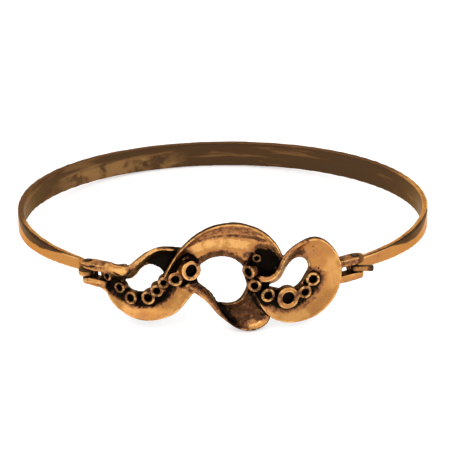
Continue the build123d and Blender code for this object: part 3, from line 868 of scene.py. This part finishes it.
def away_from_line(own, points):
    """Each point's distance across and up the front from a stroke's line, in metres."""
    line = smooth_line(points, 4) * (FRONT_HALF, FRONT_RISE)
    flat = own[:, [0, 2]]
    nearest = np.full(len(flat), FRONT_HALF)
    for start, end in zip(line[:-1], line[1:]):
        way = end - start
        share = np.clip((flat - start) @ way / (way @ way), 0, 1)
        nearest = np.minimum(nearest, np.linalg.norm(flat - start - share[:, None] * way, axis=1))
    return nearest


def patina_light_and_cut(mesh):
    """How dark, how bright and how deeply cut each point of the front is left by the patina strokes, by
    painted shade and by painted highlights.
    """
    own, facing = own_points_of(mesh)
    toward = -facing[:, 1]
    out = (FRONT_CENTRE - np.sqrt(FRONT_BEND**2 - own[:, 0] ** 2) - own[:, 1]) / RELIEF
    on_face = ramp(toward, -0.2, 0.2)
    on_ears = ramp(np.abs(own[:, 0]) / FRONT_HALF, 0.86, 0.89)
    # Painted shade: surfaces turned from the front are darkened, less so on the ears' tops.
    dark = turned_away(toward) * (0.75 - 0.35 * on_ears)
    cut = np.zeros(len(own))
    bright = np.zeros(len(own))
    ragged = swells(mesh, 0.35 * MM) * 0.3
    for stroke in PATINA_AND_LIGHT_STROKES:
        away = away_from_line(own, stroke.points) / (stroke.width * MM) + ragged
        cover = ramp(away, 1, 0.545) * on_face * ramp(out, stroke.below, stroke.below - 0.15)
        dark = np.maximum(dark, cover * stroke.dark)
        bright = np.maximum(bright, -cover * stroke.dark)
        cut = np.maximum(cut, cover * stroke.depth * MM)
    return dark, bright, cut


class BRACELET_OT_cast_front(bpy.types.Operator):
    """Casts the openwork front in one skin, with its hollows blackened, its edges worn bright, and painted
    shade and painted highlights
    """

    bl_idname = "bracelet.cast_front"
    bl_label = "Cast Front"
    bl_options = {"REGISTER", "UNDO"}

    def execute(self, context):
        settings = context.scene.bracelet_front
        bm = merged_copy("ornament")
        for wax in WAX_STROKES:
            lay_wax(bm, wax)
        for corners in WAX_PLATES:
            lay_plate(bm, corners)
        mesh = recast(bm, "cast_front", settings.grain, settings.softening)
        for spot in MELTS:
            melt(mesh, spot)
        let_out(mesh, settings.regain + swells(mesh, 1.5 * MM) * settings.unevenness)
        dark, bright, cut = patina_light_and_cut(mesh)
        let_out(mesh, -cut)
        rays = 24
        shut = hollows(mesh, ["band", "hinge_pin", "clasp_bar"], settings.hollow_reach, rays)
        grime = spread(shut, edge_ends(mesh), 25)
        patina = np.clip(shut * 1.3 - 0.12, 0, 1) + np.clip(grime * 1.1 - 0.10, 0, 0.5)
        toward = -own_points_of(mesh)[1][:, 1]
        # Edges worn bright, kept to surfaces that face the front, so they are also painted highlights.
        wear_and_highlight = edges_worn(mesh, settings.worn_edge) * ramp(toward, 0.6, 0.8)
        # The patina mark also carries painted shade, and the worn-edge mark painted highlights and
        # reflections.
        lay_mark(mesh, "patina", np.maximum(patina, dark + patina * 0.5) * (1 - bright))
        lay_mark(mesh, "wear_and_highlight", np.maximum(wear_and_highlight, bright))
        material = cast_bronze(context.scene.bracelet_bronze)
        finished_piece(mesh, "ornament", "front", material)
        return {"FINISHED"}


def band_heights(own):
    """Each point's height on the band, from -1 at its lower edge to 1 at its upper one."""
    bins = 180
    angle = np.arctan2(own[:, 1] / BAND_HALF_DEPTH, own[:, 0] / BAND_HALF_WIDTH)
    index = ((angle + pi) / (2 * pi) * bins).astype(int) % bins
    top = np.zeros(bins)
    np.maximum.at(top, index, np.abs(own[:, 2]))
    return own[:, 2] / top[index]


def outward_facing(own, facing):
    """How squarely each point of the band faces out, from -1 on its inside to 1 on its outside."""
    radial = own[:, :2] / (BAND_HALF_WIDTH**2, BAND_HALF_DEPTH**2)
    radial /= np.linalg.norm(radial, axis=1)[:, None]
    return np.einsum("ij,ij->i", facing[:, :2], radial)


def back_share(own):
    """1 on the back of the band, where its rims are darker and its edges less bright, down to 0 at its
    front and its right end.
    """
    return ramp(own[:, 1], -7 * MM, -3 * MM) * ramp(own[:, 0], 30 * MM, 25 * MM)


def dark_lens(mesh, own, outward, height):
    """The dark lens that hangs from the upper rim at each side of the band's outside, over a painted shadow
    just below the rim all round.
    """
    across = np.abs(own[:, 0]) / BAND_HALF_WIDTH
    round_from_front = np.degrees(np.arctan2(across, -own[:, 1] / BAND_HALF_DEPTH))
    reach = np.where(own[:, 0] < 0, LENS_REACH_LEFT, LENS_REACH_RIGHT)
    lens = np.clip(1 - ((round_from_front - LENS_MIDDLE) / reach) ** 2, 0, 1)
    below_rim = ramp(height + lens + swells(mesh, 2 * MM) * 0.08, 0.74, 0.98)
    return below_rim * ramp(outward, 0.6, 0.9) * np.where(round_from_front < LENS_FAINT_FROM, 0.95, 0.5)


def dark_line(own, outward, height):
    """The painted shadow line just below the upper rim, on the front part of the band's outside."""
    away = np.abs(height - LINE_HEIGHT)
    return ramp(away, 0.192, 0.072) * (outward > 0.2) * (own[:, 1] < -3 * MM)


def at_knuckle(own):
    """The patina round the hinge pin, where the band turns on it."""
    hinge = on_front(*HINGE_SHARE)
    away = np.hypot(own[:, 0] - hinge.x, own[:, 1] - hinge.y)
    return ramp(away, 1.8 * MM, 0.9 * MM) * 0.5


def lit_lower_inside(own, height):
    """Painted light on the lower part of the inside at the left of the back, lighter there than above."""
    stretch = np.clip(1.3 - ((own[:, 0] - LIT_INSIDE_MIDDLE) / LIT_INSIDE_REACH) ** 2, 0, 1)
    return stretch * (own[:, 1] > 0) * ramp(height, 0.45, 0.05)


class BRACELET_OT_roll_band(bpy.types.Operator):
    """Rolls the springy band, with softened edges, a brushed outside and a brown inside, with painted
    shadow and painted light
    """

    bl_idname = "bracelet.roll_band"
    bl_label = "Roll Band"
    bl_options = {"REGISTER", "UNDO"}

    def execute(self, context):
        settings = context.scene.bracelet_band
        mesh = recast(merged_copy("band"), "sprung_band", settings.grain, settings.softening)
        let_out(mesh, swells(mesh, 3.5 * MM) * settings.unevenness)
        own, facing = own_points_of(mesh)
        outward = outward_facing(own, facing)
        height = band_heights(own)
        at_back = back_share(own)
        rims = ramp(np.abs(outward), 0.8, 0.5) * (0.39 + 0.41 * at_back)
        lens = dark_lens(mesh, own, outward, height)
        # Patina marks, with the painted shadow below the upper rim.
        stains_and_shadow = np.maximum.reduce([lens, rims, dark_line(own, outward, height)])
        rays = 16
        shut = hollows(mesh, ["ornament", "hinge_pin", "clasp_bar"], settings.hollow_reach, rays)
        lay_mark(mesh, "inside", ramp(outward, -0.35, -0.75))
        # Painted light low on the inside at the back.
        lay_mark(mesh, "rubbed_and_highlight", lit_lower_inside(own, height))
        lay_mark(mesh, "patina", np.clip(shut * 1.5 - 0.1, 0, 1) + stains_and_shadow + at_knuckle(own))
        lay_mark(mesh, "wear_and_highlight", edges_worn(mesh, settings.worn_edge) * (1 - 0.8 * at_back))
        material = band_bronze(context.scene.bracelet_bronze)
        finished_piece(mesh, "band", "band", material)
        return {"FINISHED"}


class BRACELET_OT_fit_clasp(bpy.types.Operator):
    """Fits the hinge pin and the clasp bar with its thumb tab"""

    bl_idname = "bracelet.fit_clasp"
    bl_label = "Fit Pin and Clasp Bar"
    bl_options = {"REGISTER", "UNDO"}

    def execute(self, context):
        settings = context.scene.bracelet_clasp
        material = wrought_bronze(context.scene.bracelet_bronze)
        for node, name in (("hinge_pin", "peened_pin"), ("clasp_bar", "clasp_bar_and_tab")):
            mesh = recast(merged_copy(node), name, settings.grain, settings.softening)
            shut = hollows(mesh, ["ornament", "band"], settings.hollow_reach, 12)
            own, facing = own_points_of(mesh)
            # Painted shade on the sides turned from the front and on the thumb tab's end.
            sides = turned_away(-facing[:, 1]) * 0.7
            shaded_tip = ramp(own[:, 0], TAB_END, TAB_END + 0.5 * MM) * 0.4
            lay_mark(mesh, "patina", np.clip(shut * 1.4, 0, 1) + sides + shaded_tip + 0.36)
            lay_mark(mesh, "wear_and_highlight", edges_worn(mesh, settings.worn_edge))
            finished_piece(mesh, node, "front", material)
        return {"FINISHED"}


def soft_light(light, key_power):
    """A square soft light, pointed at the bangle."""
    data = bpy.data.lights.new(light.name, "AREA")
    data.shape = "SQUARE"
    data.size = light.size
    data.energy = key_power * light.share
    lamp = bpy.data.objects.new(light.name, data)
    bpy.context.scene.collection.objects.link(lamp)
    lamp.location = light.place
    lamp.rotation_euler = (laid((0, 0, 0)) - Vector(light.place)).to_track_quat("-Z", "Y").to_euler()


class BRACELET_OT_set_stage(bpy.types.Operator):
    """Sets the pale floor, the soft lights and the camera"""

    bl_idname = "bracelet.set_stage"
    bl_label = "Set Stage"
    bl_options = {"REGISTER", "UNDO"}

    def execute(self, context):
        settings = context.scene.bracelet_studio
        bm = bmesh.new()
        bmesh.ops.create_grid(bm, x_segments=1, y_segments=1, size=FLOOR_HALF)
        mesh = bpy.data.meshes.new("floor")
        bm.to_mesh(mesh)
        bm.free()
        floor = bpy.data.objects.new("floor", mesh)
        context.scene.collection.objects.link(floor)
        s = Shader("pale floor")
        tone = s.mix(s.clouds(50 * MM, 2, 0.5) * 0.1, settings.floor, (0.9, 0.9, 0.9))
        texture = s.clouds(1 * MM, 2, 0.5)
        mesh.materials.append(s.finish(tone, 0.0, 0.75, texture, 0.01 * MM, settings.floor_glow, WHITE))

        for light in LIGHTS:
            soft_light(light, settings.key_power)
        world = bpy.data.worlds.new("studio")
        world.use_nodes = True
        background = world.node_tree.nodes["Background"]
        background.inputs["Color"].default_value = WHITE
        background.inputs["Strength"].default_value = settings.room_light
        context.scene.world = world
        context.scene.view_settings.view_transform = "Standard"

        middle = laid((0, -0.5 * MM, 0))
        forward = TURN @ Vector((0, cos(settings.elevation), -sin(settings.elevation)))
        right = TURN @ Vector((1, 0, 0))
        aim = Matrix((right, right.cross(forward), -forward)).transposed()
        aim = aim @ Matrix.Rotation(settings.lean, 3, "Z")
        data = bpy.data.cameras.new("camera")
        data.sensor_width = 36
        data.lens = data.sensor_width * settings.distance / settings.frame_width
        data.clip_start = 0.01
        data.shift_x = LEFT_OF_MIDDLE / PICTURE
        data.shift_y = -ABOVE_MIDDLE / PICTURE
        camera = bpy.data.objects.new("camera", data)
        context.scene.collection.objects.link(camera)
        camera.matrix_world = Matrix.Translation(middle - forward * settings.distance) @ aim.to_4x4()
        context.scene.camera = camera
        return {"FINISHED"}


class BRACELET_PT_panel(bpy.types.Panel):
    """Lists the bracelet's pieces and their settings"""

    bl_label = "Bracelet"
    bl_idname = "BRACELET_PT_panel"
    bl_space_type = "VIEW_3D"
    bl_region_type = "UI"
    bl_category = "Bracelet"

    def draw(self, context):
        for title, settings, operator in STEPS:
            box = self.layout.box()
            box.label(text=title)
            group = getattr(context.scene, settings)
            for name in group.__annotations__:
                box.prop(group, name)
            if operator:
                box.operator(operator)


SETTINGS = [
    ("bracelet_front", CastFrontSettings),
    ("bracelet_band", BandSettings),
    ("bracelet_clasp", ClaspSettings),
    ("bracelet_bronze", BronzeSettings),
    ("bracelet_studio", StudioSettings),
]
STEPS = [
    ("Stage", "bracelet_studio", "bracelet.set_stage"),
    ("Bronze", "bracelet_bronze", None),
    ("Cast Front", "bracelet_front", "bracelet.cast_front"),
    ("Band", "bracelet_band", "bracelet.roll_band"),
    ("Pin and Clasp Bar", "bracelet_clasp", "bracelet.fit_clasp"),
]
CLASSES = [
    BRACELET_OT_set_stage,
    BRACELET_OT_cast_front,
    BRACELET_OT_roll_band,
    BRACELET_OT_fit_clasp,
    BRACELET_PT_panel,
]


def register():
    """Adds the settings, the operators and the panel."""
    for name, group in SETTINGS:
        bpy.utils.register_class(group)
        setattr(bpy.types.Scene, name, PointerProperty(type=group))
    for item in CLASSES:
        bpy.utils.register_class(item)


def unregister():
    """Takes them out again."""
    for item in reversed(CLASSES):
        bpy.utils.unregister_class(item)
    for name, group in reversed(SETTINGS):
        delattr(bpy.types.Scene, name)
        bpy.utils.unregister_class(group)


def main():
    """Makes the whole bracelet and its stage."""
    register()
    bpy.ops.bracelet.set_stage()
    bpy.ops.bracelet.cast_front()
    bpy.ops.bracelet.roll_band()
    bpy.ops.bracelet.fit_clasp()


if __name__ == "__main__":
    main()
